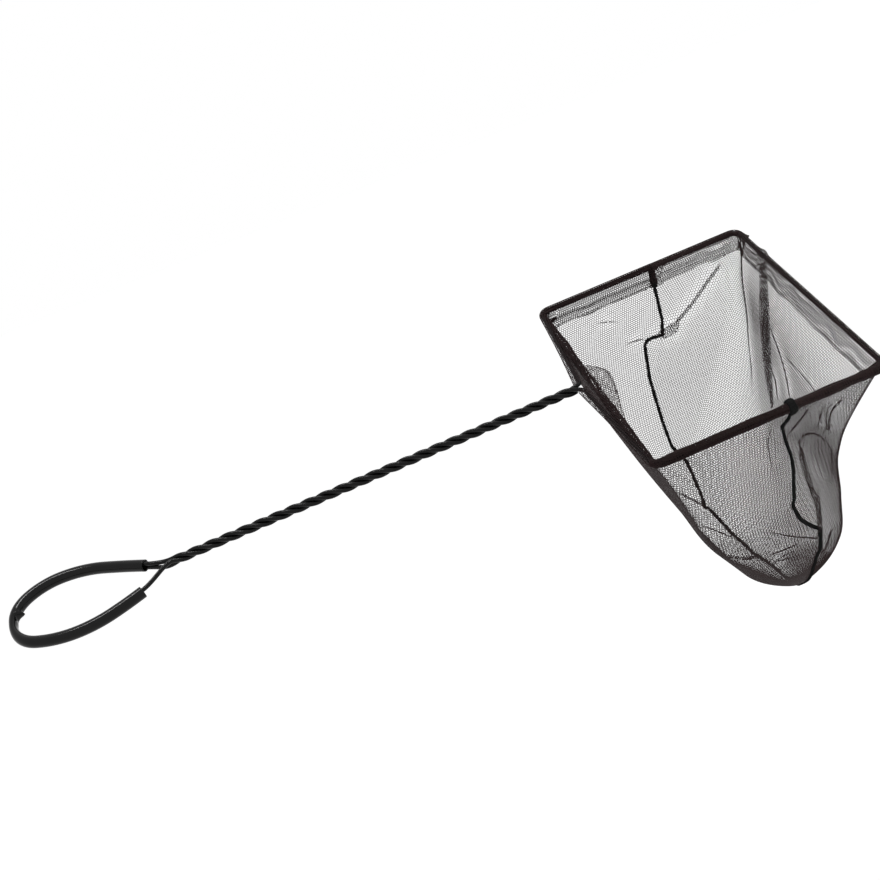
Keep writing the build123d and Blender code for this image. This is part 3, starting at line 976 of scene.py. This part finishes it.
folds = {"near": (band_fold, band_out, 1.15), "far": (standing_fold, standing_out, 3)}
panels = (("near", near_grid, near_plain, -1), ("far", far_grid, far_plain, 1))
for name, grid, plain, side in panels:
    (upper, upper_cut), (lower, lower_cut) = make_panel(f"net_{name}", grid, plain)
    hem, hem_cut = make_hem(f"net_{name}_hem", grid, side)
    fold = make_fold(f"net_{name}_fold", *folds[name])
    place(upper, nylon, "net_cloth", f"panel_{name}")
    for piece in (lower, hem, fold):
        place(piece, nylon, "net_cloth")
    cloth(upper, upper_cut, "hung", "wire_frame", fold)
    cloth(lower, lower_cut, "hung", upper.name)
    cloth(hem, hem_cut, "folded", "wire_frame")
    stitches = make_stitches(f"hem_stitches_{name}", grid, side)
    place(stitches, thread, "seam_thread", f"hem_thread_{name}")

place(make_seam(), thread, "seam_thread", "bag_seam")
place(make_rear_tab(), thread, "seam_thread", "seam_tab_rear")
place(make_front_tab(), thread, "seam_thread", "seam_tab_front")


# Stage, light and camera

ambient = 0.5
floor_glow = (0.25, 0.56)
key_place = (0.08, 0.06, 1.18)
key_size = (0.83, 0.09)
key_power = 10.0


def make_floor(height, size):
    """Pale floor well below the net; it glows more where the lamp does not reach."""
    signs = ((-1, -1), (1, -1), (1, 1), (-1, 1))
    square = [(size * x, size * y, height) for x, y in signs]
    floor = new_object("floor", square, [(0, 1, 2, 3)], smooth_faces=False)
    material, tree, shader = new_material("pale_floor", (0.94, 0.94, 0.94), 0.9, 0.1)
    shader.inputs["Emission Color"].default_value = (1, 1, 1, 1)
    coordinates = tree.nodes.new("ShaderNodeTexCoord")
    distance = tree.nodes.new("ShaderNodeVectorMath")
    distance.operation = "LENGTH"
    glow = tree.nodes.new("ShaderNodeMapRange")
    glow.inputs["From Max"].default_value = 2.5
    glow.inputs["To Min"].default_value = floor_glow[0]
    glow.inputs["To Max"].default_value = floor_glow[1]
    tree.links.new(coordinates.outputs["Object"], distance.inputs[0])
    tree.links.new(distance.outputs["Value"], glow.inputs["Value"])
    tree.links.new(glow.outputs["Result"], shader.inputs["Emission Strength"])
    floor.data.materials.append(material)


def make_world():
    """White all round for the camera, mirrors and glass, and soft light from it for the rest."""
    world = bpy.data.worlds.new("studio")
    world.use_nodes = True
    bpy.context.scene.world = world
    tree = world.node_tree
    background = tree.nodes["Background"]
    background.inputs["Color"].default_value = (1, 1, 1, 1)
    background.inputs["Strength"].default_value = ambient
    white = tree.nodes.new("ShaderNodeBackground")
    white.inputs["Color"].default_value = (1, 1, 1, 1)
    white.inputs["Strength"].default_value = 1.0
    path = tree.nodes.new("ShaderNodeLightPath")
    seen = path.outputs["Is Camera Ray"]
    for other in ("Is Glossy Ray", "Is Transmission Ray"):
        either = tree.nodes.new("ShaderNodeMath")
        either.operation = "MAXIMUM"
        tree.links.new(seen, either.inputs[0])
        tree.links.new(path.outputs[other], either.inputs[1])
        seen = either.outputs["Value"]
    mix = tree.nodes.new("ShaderNodeMixShader")
    tree.links.new(seen, mix.inputs["Fac"])
    tree.links.new(background.outputs["Background"], mix.inputs[1])
    tree.links.new(white.outputs["Background"], mix.inputs[2])
    tree.links.new(mix.outputs["Shader"], tree.nodes["World Output"].inputs["Surface"])


def make_lamp(name, place_at, aim, size, power):
    """A soft box that points at the part."""
    light = bpy.data.lights.new(name, "AREA")
    light.shape = "RECTANGLE"
    light.size, light.size_y = size
    light.energy = power
    lamp = bpy.data.objects.new(name, light)
    bpy.context.scene.collection.objects.link(lamp)
    heading = np.asarray(aim, float) - np.asarray(place_at, float)
    lamp.location = place_at
    lamp.rotation_euler = (
        math.acos(-heading[2] / np.linalg.norm(heading)),
        0,
        math.atan2(heading[1], heading[0]) - math.pi / 2,
    )


# Camera from the hoop's corners and the handle's line in the picture, 880 pixels wide
camera_at = (162.3, -590.6, 195.9)
camera_turn = -3.87
camera_pitch = 72.01
camera_roll = -21.85
picture_width = 880
focal_pixels = 1188.8


def make_camera():
    data = bpy.data.cameras.new("photo_camera")
    data.sensor_width = 36.0
    data.lens = focal_pixels / picture_width * data.sensor_width
    data.clip_start = 0.01
    camera = bpy.data.objects.new("photo_camera", data)
    turn = Matrix.Rotation(math.radians(camera_turn), 4, "Z")
    turn = turn @ Matrix.Rotation(math.radians(camera_pitch), 4, "X")
    turn = turn @ Matrix.Rotation(math.radians(camera_roll), 4, "Z")
    camera.matrix_world = Matrix.Translation([c * MM for c in camera_at]) @ turn
    bpy.context.scene.collection.objects.link(camera)
    bpy.context.scene.camera = camera


make_floor(-450.0, 6000.0)
make_world()
make_lamp("key_box", key_place, (key_place[0], 0, 0), key_size, key_power)
make_camera()
bpy.context.scene.view_settings.view_transform = "Standard"
